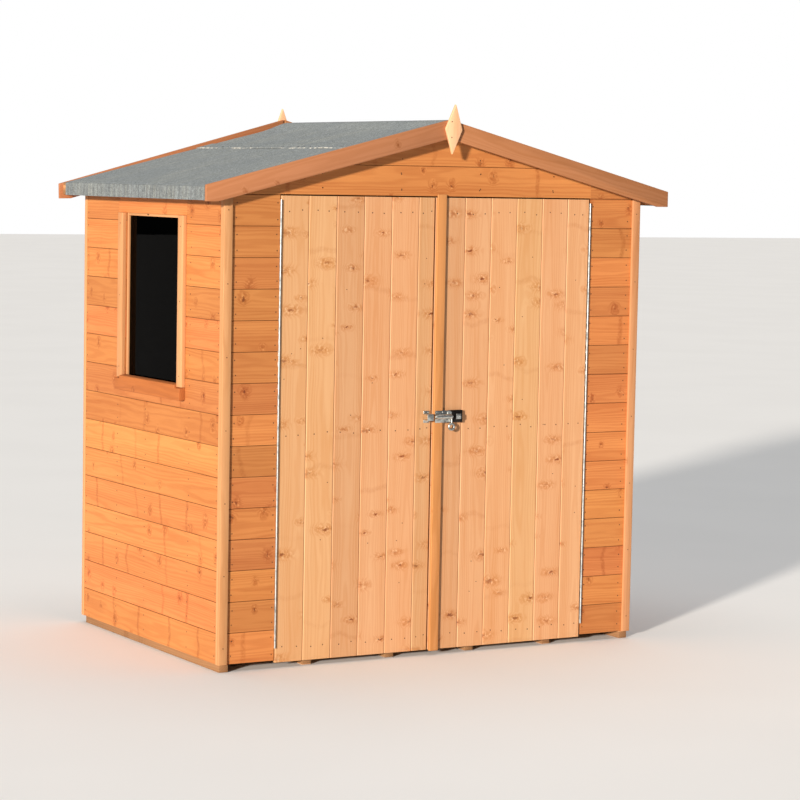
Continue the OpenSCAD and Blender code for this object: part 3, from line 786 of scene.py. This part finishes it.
class SHED_OT_trims(bpy.types.Operator):
    """Plane the corner trims, bargeboards and finials, with eased corners"""
    bl_idname = "shed.trims"
    bl_label = "Trims and bargeboards"

    def execute(self, context):
        arris = sizes().trim_arris
        for i, place in enumerate(("front_left", "front_right", "back_left", "back_right")):
            low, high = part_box("corner_trim_" + place)
            side, face = (1 if low.x > 0 else -1), (1 if low.y > 0 else -1)
            # rebated over the corner, so that a narrow leg shows on the side wall
            leg = (Vector((side * (HALF_W - 3 * MM), face * (HALF_D - 15 * MM), low.z)),
                   Vector((side * (HALF_W + 1 * MM), face * (HALF_D + 2 * MM), high.z)))
            members("corner_" + place, ("corner_trim_" + place,), "trim", "shed", "trim_timber",
                    40 + i, arris, leg=leg)
            steeper = side * BACK_BARGE_TILT if face > 0 else 0.0
            members("barge_" + place, ("bargeboard_" + place,), "barge", "shed", "barge_timber",
                    50 + i, arris, hang=hung("bargeboard_" + place, steeper))
        for i, (place, lean) in enumerate(FINIAL_LEANS):
            # its middle also moves 3 mm to the right for each degree
            members("diamond_" + place, ("finial_" + place,), "finial", "shed", "barge_timber",
                    60 + i, arris, hang=hung("finial_" + place, lean, lean * 3 * MM))
        return {"FINISHED"}


class SHED_OT_framing(bpy.types.Operator):
    """Build the bearers, floor boards, wall framing, roof boards and battens"""
    bl_idname = "shed.framing"
    bl_label = "Framing, floor and roof boards"

    def execute(self, context):
        members("bearer_set", ("bearers",), "raw", "shed", "floor_timber", 70, 1.2 * MM)
        for i, side in enumerate(("front", "left", "right", "back")):
            members(side + "_studs", (side + "_frame",), "raw", "shed", "frame_timber", 72 + i, 0.8 * MM)
        members("ridge_and_battens", ("roof_battens",), "raw", "shed", "roof_boards", 77, 0.8 * MM)
        rng = random.Random(78)
        low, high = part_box("floor")
        cover = sizes().cover
        floor = timber_mesh()
        count = math.ceil((high.y - low.y) / cover)
        for i in range(count):
            y0 = low.y + i * cover
            width = min(cover, high.y - y0)
            board(floor, Vector((low.x, y0, high.z)), X, Y, Z, high.x - low.x, width, draw_marks(rng),
                  thick=high.z - low.z, joint=1.0 * MM, arris=0.6 * MM, tongue=i < count - 1,
                  groove=i > 0)
        finished("floor_boards", floor, "raw", "shed", "floor_timber", ("floor",))
        for side, sign in (("left", -1), ("right", 1)):
            low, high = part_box("roof_panel_" + side)
            down = Vector((sign * math.cos(PITCH), 0, -math.sin(PITCH)))
            up = Vector((sign * math.sin(PITCH), 0, math.cos(PITCH)))
            thick = (high.z - UNDER_Z) * math.cos(PITCH)
            span = (high.x - low.x) / math.cos(PITCH)
            roof = timber_mesh()
            count = math.ceil(span / cover)
            ends = [(Vector((0, 0, 0)), Vector((-sign, 0, 0))),
                    (Vector((high.x if sign > 0 else low.x, 0, 0)), Vector((sign, 0, 0)))]
            for i in range(count):
                # laid face down: the planed face shows inside, under the eaves and at the gables
                first, last = i == 0, i == count - 1
                past = 12 * MM if first else 0    # it reaches over the ridge, and is sawn off there
                start = Vector((0, low.y, UNDER_Z)) + down * (i * cover - past)
                board(roof, start, Y, down, -up, high.y - low.y, cover + past, draw_marks(rng),
                      thick=thick, joint=1.2 * MM, arris=1.0 * MM, tongue=not last,
                      groove=not first, cuts=ends)
            finished("roof_boards_" + side, roof, "raw", "shed", "roof_boards", ("roof_panel_" + side,))
        return {"FINISHED"}


class SHED_OT_window(bpy.types.Operator):
    """Fit the fixed window: its frame and bead, the clear pane, the trims and the sloping sill"""
    bl_idname = "shed.window"
    bl_label = "Window"

    def execute(self, context):
        arris = sizes().trim_arris
        members("window_side_trims", ("window_trims",), "trim", "shed", "trim_timber", 80, arris)
        members("window_sill_board", ("window_sill",), "sill", "shed", "trim_timber", 81, arris * 1.4, 3)
        members("window_bars", ("window_frame",), "trim", "shed", "trim_timber", 82, 1.0 * MM)
        pane = merged_copy("window_pane")
        ease(pane, 0.4 * MM, 1)
        finished("window_glazing", pane, "pane", "shed", "glazing", ("window_pane",))
        return {"FINISHED"}


def smoothstep(t):
    """Eases from 0 to 1 as t goes from 0 to 1."""
    t = max(0.0, min(1.0, t))
    return t * t * (3 - 2 * t)


def felt_line(s, sign, lift):
    """A point lifted off the felt's upper face, s metres from the ridge, and the way that it faces.
    The line runs down the slope, round the eave in a short curve, and down the turned edge."""
    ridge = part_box("felt_left")[1].z
    eave = -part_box("felt_left")[0].x
    slope = eave / math.cos(PITCH)
    bend = 5 * MM
    if s < slope - bend:
        point = Vector((sign * s * math.cos(PITCH), 0, ridge - s * math.sin(PITCH)))
        normal = Vector((sign * math.sin(PITCH), 0, math.cos(PITCH)))
    elif s < slope + bend:
        t = (s - slope + bend) / (2 * bend)
        a = Vector((sign * (slope - bend) * math.cos(PITCH), 0, ridge - (slope - bend) * math.sin(PITCH)))
        c = Vector((sign * eave, 0, ridge - eave * FALL))
        b = c - Z * bend
        point = a * (1 - t) ** 2 + c * 2 * t * (1 - t) + b * t * t
        angle = PITCH + (math.pi / 2 - PITCH) * t
        normal = Vector((sign * math.sin(angle), 0, math.cos(angle)))
    else:
        point = Vector((sign * eave, 0, ridge - eave * FALL - (s - slope)))
        normal = Vector((sign, 0, 0))
    return point + normal * lift, normal


def felt_sheet(stack, s0, s1, y0, y1, lift, wave, seed):
    """One sheet of felt from s0 to s1, measured from the ridge and negative on the left."""
    thick = (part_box("felt_left")[1].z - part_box("roof_panel_left")[1].z) * math.cos(PITCH)
    face = 12 * MM    # length of the sheet's faces, down the slope
    bm = bmesh.new()
    bmesh.ops.create_grid(bm, x_segments=max(2, round(abs(s1 - s0) / face)), y_segments=64, size=0.5)
    for v in bm.verts:
        s = s0 + (s1 - s0) * (v.co.x + 0.5)
        y = y0 + (y1 - y0) * (v.co.y + 0.5)
        # long waves with smaller ones on them, which die out over the last 100 mm to the ridge
        ripple = noise.noise(Vector((s * 2.2, y * 6.0, seed))) + 0.5 * noise.noise(
            Vector((s * 9.0, y * 15.0, seed + 7)))
        stands = wave * min(1.0, abs(s) / 0.1) * max(0.0, 0.35 + ripple)
        point = felt_line(abs(s), -1 if s < 0 else 1, lift(abs(s)) + stands)[0]
        v.co = Vector((point.x, y, point.z))
    bmesh.ops.recalc_face_normals(bm, faces=bm.faces[:])
    if sum(f.normal.z for f in bm.faces) < 0:
        bmesh.ops.reverse_faces(bm, faces=bm.faces[:])
    # a little thinner than the room for it, so that it doesn't touch the roof boards
    bmesh.ops.solidify(bm, geom=bm.faces[:], thickness=thick * 0.98)
    pour(stack, bm)


class SHED_OT_roof(bpy.types.Operator):
    """Cover the roof with felt: a sheet on each slope, and one over the ridge that laps them"""
    bl_idname = "shed.roof"
    bl_label = "Roofing felt"

    def execute(self, context):
        low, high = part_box("felt_left")
        thick = (high.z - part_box("roof_panel_left")[1].z) * math.cos(PITCH)
        lap = sizes().lap
        # from the ridge to the lower end of the turned edge
        full = -low.x / math.cos(PITCH) + (high.z + low.x * FALL - low.z)
        # the slope sheets reach 75 mm under the ridge sheet, and all stop 30 mm short at the back
        under = lap - 75 * MM
        back = high.y - 30 * MM
        hump, hump_reach = 11 * MM, 130 * MM

        def over_lap(s):
            """How high the ridge sheet lies: on the sheet below it, and standing off the ridge, because
            it is too stiff to fold sharply."""
            return ((thick + 0.3 * MM) * smoothstep((s - under + 12 * MM) / (16 * MM))
                    + hump * smoothstep(1 - s / hump_reach))

        for side, sign, seed in (("left", -1, 3.1), ("right", 1, 8.7)):
            stack = bmesh.new()
            felt_sheet(stack, sign * under, sign * full, low.y, back, lambda s: 0.0, 1.6 * MM, seed)
            finished("felt_slope_" + side, stack, "felt", "shed", "roof_felt", ("felt_" + side,),
                     smooth=50)
        stack = bmesh.new()
        felt_sheet(stack, -lap, lap, low.y, back, over_lap, 2.0 * MM, 14.3)
        finished("felt_ridge", stack, "felt", "shed", "roof_felt", smooth=50)
        # a clout every 58 mm or so, 14 mm inside the ridge sheet's edge
        clouts = bmesh.new()
        rng = random.Random(90)
        for sign in (-1, 1):
            y = low.y + 40 * MM
            while y < back - 20 * MM:
                s = lap - 14 * MM + rng.uniform(-3, 3) * MM
                point, normal = felt_line(s, sign, over_lap(s) + 2.2 * MM)
                head(clouts, Vector((point.x, y, point.z)), normal, sizes().clout, 0.9 * MM)
                y += (58 + rng.uniform(-9, 9)) * MM
        finished("felt_nails", clouts, "hinge", "shed", "roof_felt")
        return {"FINISHED"}


class SHED_OT_hinges(bpy.types.Operator):
    """Make the two piano hinges: fine knuckles on a pin, and a thin plate along each edge"""
    bl_idname = "shed.hinges"
    bl_label = "Piano hinges"

    def execute(self, context):
        low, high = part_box("right_hinge")
        radius = (high.x - low.x) / 2
        axis_x, axis_y = (low.x + high.x) / 2, low.y + radius
        count = max(3, round((high.z - low.z) / sizes().knuckle))
        pitch = (high.z - low.z) / count
        gap, plate, pin = 0.5 * MM, 1.0 * MM, 1.3 * MM
        for side, sign in (("left", -1), ("right", 1)):
            axis = Vector((sign * axis_x, axis_y, 0))
            # the fixed half carries the pin and the even knuckles, the moving half the odd ones
            for part, body, node, inner in (
                    (0, "shed", side + "_hinge", DOOR_X - plate),
                    (1, side + "_leaf", side + "_door_hinge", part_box("right_door")[1].x)):
                bm = bmesh.new()
                near, far = sign * inner, sign * (inner + plate)
                for i in range(part, count, 2):
                    z0 = low.z + i * pitch + gap / 2
                    z1 = z0 + pitch - gap
                    rod(bm, axis + Z * z0, axis + Z * z1, radius, sides=14)
                    box_at(bm, (near, axis_y, z0), (far, -HALF_D + 1 * MM, z1))
                box_at(bm, (near, -HALF_D - 0.2 * MM, low.z), (far, high.y, high.z), 0.2 * MM)
                if part == 0:
                    rod(bm, axis + Z * low.z, axis + Z * high.z, pin, sides=12)
                finished(node + "_steel", bm, "hinge", body, "hinge_steel", (node,), smooth=40)
        return {"FINISHED"}


class SHED_OT_latch(bpy.types.Operator):
    """Make the sliding bolt: its keep, its plate and barrel, the dark case, and the rod with its ring"""
    bl_idname = "shed.latch"
    bl_label = "Sliding bolt"

    def execute(self, context):
        for name, node, key, body, slot in (
                ("latch_keep_staple", "latch_keep", "zinc", "left_leaf", "zinc_plate"),
                ("latch_plate_barrel", "latch_body", "zinc", "right_leaf", "zinc_plate"),
                # the case gets the dark finish, a painted reflection of dark surroundings
                ("latch_dark_case", "latch_case", "dark", "right_leaf", "dark_steel")):
            bm = merged_copy(node)
            ease(bm, 0.6 * MM, 2, 30)
            low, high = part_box(node)
            plate_y = high.y - 2 * MM    # the plate's face
            if node == "latch_keep":
                for z in (low.z + 6 * MM, high.z - 6 * MM):
                    for x in (low.x + 6 * MM, high.x - 6 * MM):
                        screw(bm, Vector((x, plate_y, z)), -Y, 2.6 * MM)
            if node == "latch_body":
                for z in (low.z + 5.5 * MM, high.z - 5.5 * MM):
                    for x in (low.x + 8 * MM, (low.x + high.x) / 2, high.x - 10 * MM):
                        screw(bm, Vector((x, plate_y, z)), -Y, 2.8 * MM)
                # the plate ends in two rounded lobes over the case
                lobe_x, lobe_radius = high.x - 4 * MM, 9.5 * MM
                for z in (low.z + 10 * MM, high.z - 10 * MM):
                    rod(bm, (lobe_x, high.y - 1.5 * MM, z), (lobe_x, high.y - 3.2 * MM, z),
                        lobe_radius, sides=28, ends=0.5 * MM)
            finished(name, bm, key, body, slot, (node,), smooth=35)
        # a bright hasp plate riveted on the dark case
        low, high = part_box("latch_case")
        bm = bmesh.new()
        middle = (low.z + high.z) / 2
        face_y, half_height = low.y - 2.2 * MM, 10 * MM
        box_at(bm, (high.x - 33 * MM, face_y, middle - half_height),
               (high.x - 12 * MM, low.y + 1 * MM, middle + half_height), 0.8 * MM, 2)
        for inset in (28, 17):
            screw(bm, Vector((high.x - inset * MM, face_y, middle)), -Y, 2.2 * MM)
        finished("latch_hasp_plate", bm, "zinc", "right_leaf", "zinc_plate", smooth=35)
        # the bolt's rod, and the finger ring that hangs from it on a short neck
        low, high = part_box("latch_bolt")
        bm = bmesh.new()
        y = (low.y + high.y) / 2
        radius = (high.y - low.y) / 2
        z = high.z - radius
        ring_radius, wire_radius, neck_radius = 15.5 * MM, 4.3 * MM, 3.0 * MM
        ring_x, ring_z = high.x - ring_radius, low.z + ring_radius
        rod(bm, (low.x, y, z), (ring_x + 4 * MM, y, z), radius, sides=32, ends=1.6 * MM)
        circle = bmesh.ops.create_circle(bm, segments=14, radius=wire_radius, matrix=Matrix.Translation(
            (ring_x + ring_radius - wire_radius, y, ring_z)))["verts"]
        bmesh.ops.spin(bm, geom=circle + edges_of(circle), cent=(ring_x, y, ring_z), axis=(0, 1, 0),
                       steps=40, angle=2 * math.pi, use_merge=True)
        rod(bm, (ring_x, y, ring_z + ring_radius - 3 * MM), (ring_x, y, z), neck_radius, sides=16)
        bmesh.ops.recalc_face_normals(bm, faces=bm.faces[:])
        finished("latch_rod_ring", bm, "zinc", "bolt", "zinc_plate", ("latch_bolt",), smooth=40)
        return {"FINISHED"}


RISE = 0.35 * MM    # how far the head of a nail stands proud

# how far the upright rows of nails are from the middle of the shed, in metres
FRONT_ROWS, GABLE_ROWS, BACK_ROWS = (0.846, 0.684), (0.846, 0.5, 0.17), (0.846, 0.43)
LEFT_ROWS, RIGHT_ROWS = (-0.574, -0.345, 0.03, 0.28, 0.574), (-0.574, -0.191, 0.191, 0.574)
BESIDE_WINDOW = (-0.33, 0.27)

# height of the rows of nails at a door's three ledges, and the range of its scattered brace nails
LEDGE_ROWS = (72 * MM, 852 * MM, 1657 * MM)
BRACES = (0.2, 1.5)


class SHED_OT_nails(bpy.types.Operator):
    """Drive the nails: pairs along the studs and board ends, and a row at each ledge of the doors"""
    bl_idname = "shed.nails"
    bl_label = "Nails"

    def execute(self, context):
        rng = random.Random(100)
        s = sizes()
        walls = bmesh.new()

        def pair(x, y, z, out, top=math.inf):
            """Two nails through the board whose lower edge is at z, unless they come too near its top."""
            for share in (0.24, 0.74):
                jitter = Vector((rng.uniform(-3, 3), rng.uniform(-3, 3), rng.uniform(-4, 4))) * MM
                jitter -= out * jitter.dot(out)
                at = Vector((x, y, z + s.cover * share)) + jitter
                if at.z < top - 12 * MM:
                    head(walls, at, out, s.nail, RISE)

        for z in courses(UNDER_Z):
            in_gable = z + 5 * MM > HEAD_Z
            for sign in (-1, 1):
                for x in GABLE_ROWS if in_gable else FRONT_ROWS:
                    pair(sign * x, -HALF_D, z, -Y, UNDER_Z - x * FALL)
                for x in BACK_ROWS:
                    pair(sign * x, HALF_D, z, Y, UNDER_Z - x * FALL)
            pair(0, HALF_D, z, Y, UNDER_Z)
        # the sixteenth board, the first that runs over the doors, is nailed twice
        for x in (-0.5, -0.17, 0.17, 0.5):
            pair(x, -HALF_D, WALL_Z + 15 * s.cover, -Y)
        over, top = (corner.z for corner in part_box("window_head"))
        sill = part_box("window_frame")[0].z
        for z in courses(top):
            beside = sill - 60 * MM < z + s.cover * 0.5 < over + 10 * MM
            for y in LEFT_ROWS:
                if not (beside and BESIDE_WINDOW[0] < y < BESIDE_WINDOW[1]):
                    pair(-HALF_W, y, z, -X, top)
            for y in RIGHT_ROWS:
                pair(HALF_W, y, z, X, top)
        finished("wall_nails", walls, "nail", "shed", "wall_boards")
        for side in ("left", "right"):
            bm = bmesh.new()
            edges = door_edges(side + "_door")
            for x0, x1 in zip(edges, edges[1:]):
                for z in LEDGE_ROWS:
                    for share in (0.27, 0.74):
                        x = x0 + (x1 - x0) * share + rng.uniform(-5, 5) * MM
                        head(bm, Vector((x, -HALF_D, z + rng.uniform(-6, 6) * MM)), -Y, s.nail, RISE)
                for _ in range(3):
                    # clenched brace nails, scattered up the boards
                    head(bm, Vector((rng.uniform(x0 + 0.02, x1 - 0.02), -HALF_D,
                                     rng.uniform(*BRACES))), -Y, s.nail * 0.8, 0.3 * MM)
            finished(side + "_door_nails", bm, "nail", side + "_leaf", "door_boards")
        trims = bmesh.new()
        for place, out in (("front", -Y), ("back", Y)):
            for side in ("left", "right"):
                low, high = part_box("corner_trim_%s_%s" % (place, side))
                face = low.y if out.y < 0 else high.y
                # seven nails up each trim, 262 mm apart
                for i in range(7):
                    at = Vector(((low.x + high.x) / 2, face, low.z + (60 + i * 262) * MM))
                    head(trims, at, out, s.nail * 0.9, RISE)
            low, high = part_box("finial_" + place)
            face = low.y if out.y < 0 else high.y
            for dz in (-30 * MM, 28 * MM):
                head(trims, Vector((0, face, (low.z + high.z) / 2 + dz)), out, s.nail, RISE)
        low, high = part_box("window_trims")
        for y in (low.y + 21 * MM, high.y - 21 * MM):
            for z in (low.z + 40 * MM, (low.z + high.z) / 2, high.z - 40 * MM):
                head(trims, Vector((low.x, y, z)), -X, s.nail * 0.9, RISE)
        finished("trim_nails", trims, "nail", "shed", "trim_timber")
        return {"FINISHED"}


# ---- The studio ----

# the camera's place in metres, how it is turned in degrees, its lens in mm, and its shift
VIEW_FROM = Vector((-5.1112, -8.9861, 1.7878))
VIEW_TURN, VIEW_DIP, VIEW_ROLL = (math.radians(a) for a in (30.121, 4.957, 1.049))
LENS, SENSOR = 118.87, 36.0
SHIFT = (0.0254, 0.0068)

# for each sun: the way to it, its strength in W/m2, its width in degrees, and its colour
LIGHTS = {"key": ((-0.82, -0.55, 0.18), 6.0, 4, "#FFF6EA"),
          "top": ((0.1, 0.15, 1.0), 1.7, 70, "#FFFFFF")}
# the room is white to the camera, and a dim pale blue as a light
ROOM_TINT, ROOM_LIGHT = "#DCE6F4", 0.08


class SHED_OT_stage(bpy.types.Operator):
    """Set the pale floor, a low soft key light from the left, a soft top light, and the camera"""
    bl_idname = "shed.stage"
    bl_label = "Studio"

    def execute(self, context):
        scene = context.scene
        mesh = bpy.data.meshes.new("studio_floor")
        bm = bmesh.new()
        bmesh.ops.create_grid(bm, x_segments=4, y_segments=4, size=60)
        bmesh.ops.translate(bm, vec=(0, 0, -0.5 * MM), verts=bm.verts[:])
        bm.to_mesh(mesh)
        bm.free()
        mesh.materials.append(material("floor"))
        floor = bpy.data.objects.new("studio_floor", mesh)
        scene.collection.objects.link(floor)

        for name, (to_light, energy, spread, tone) in LIGHTS.items():
            lamp = bpy.data.lights.new(name, "SUN")
            lamp.energy = energy
            lamp.angle = math.radians(spread)
            lamp.color = linear(tone)
            light = bpy.data.objects.new(name, lamp)
            scene.collection.objects.link(light)
            direction = Vector(to_light).normalized()
            light.rotation_euler = direction.to_track_quat("Z", "Y").to_euler()
            light.location = direction * 6

        world = bpy.data.worlds.new("studio")
        scene.world = world
        world.use_nodes = True
        tree = world.node_tree
        tree.nodes.clear()
        seen = add(tree, "Background", {"Color": (1, 1, 1, 1), "Strength": 1.0})
        light = add(tree, "Background", {"Color": rgba(linear(ROOM_TINT)), "Strength": ROOM_LIGHT})
        both = add(tree, "MixShader", {0: add(tree, "LightPath").outputs["Is Camera Ray"],
                                       1: light, 2: seen})
        tree.links.new(both.outputs[0], add(tree, "OutputWorld").inputs["Surface"])
        scene.view_settings.view_transform = "Standard"

        camera = bpy.data.cameras.new("view")
        camera.lens, camera.sensor_width = LENS, SENSOR
        camera.shift_x, camera.shift_y = SHIFT
        camera.clip_end = 200
        eye = bpy.data.objects.new("view", camera)
        scene.collection.objects.link(eye)
        forward = Vector((math.sin(VIEW_TURN) * math.cos(VIEW_DIP),
                          math.cos(VIEW_TURN) * math.cos(VIEW_DIP), -math.sin(VIEW_DIP)))
        level = Vector((math.cos(VIEW_TURN), -math.sin(VIEW_TURN), 0))
        up = level.cross(forward)
        right = level * math.cos(VIEW_ROLL) + up * math.sin(VIEW_ROLL)
        up = up * math.cos(VIEW_ROLL) - level * math.sin(VIEW_ROLL)
        eye.matrix_world = Matrix((right, up, -forward)).transposed().to_4x4()
        eye.location = VIEW_FROM
        scene.camera = eye
        return {"FINISHED"}


class SHED_PT_panel(bpy.types.Panel):
    """Lists the steps that build the shed"""
    bl_idname = "SHED_PT_panel"
    bl_label = "Garden Shed"
    bl_space_type = "VIEW_3D"
    bl_region_type = "UI"
    bl_category = "Shed"

    def draw(self, context):
        layout = self.layout
        for step in STEPS:
            layout.operator(step.bl_idname)
        for group in (context.scene.shed_sizes, context.scene.shed_colours):
            box = layout.box()
            for name in group.__annotations__:
                box.prop(group, name)


STEPS = (SHED_OT_stage, SHED_OT_walls, SHED_OT_doors, SHED_OT_trims, SHED_OT_framing, SHED_OT_window,
         SHED_OT_roof, SHED_OT_hinges, SHED_OT_latch, SHED_OT_nails)
CLASSES = (ShedSizes, ShedColours, *STEPS, SHED_PT_panel)


def register():
    for cls in CLASSES:
        bpy.utils.register_class(cls)
    bpy.types.Scene.shed_sizes = PointerProperty(type=ShedSizes)
    bpy.types.Scene.shed_colours = PointerProperty(type=ShedColours)


def unregister():
    del bpy.types.Scene.shed_colours
    del bpy.types.Scene.shed_sizes
    for cls in reversed(CLASSES):
        bpy.utils.unregister_class(cls)


def main():
    register()
    for step in STEPS:
        area, name = step.bl_idname.split(".")
        getattr(getattr(bpy.ops, area), name)()


if __name__ == "__main__":
    main()
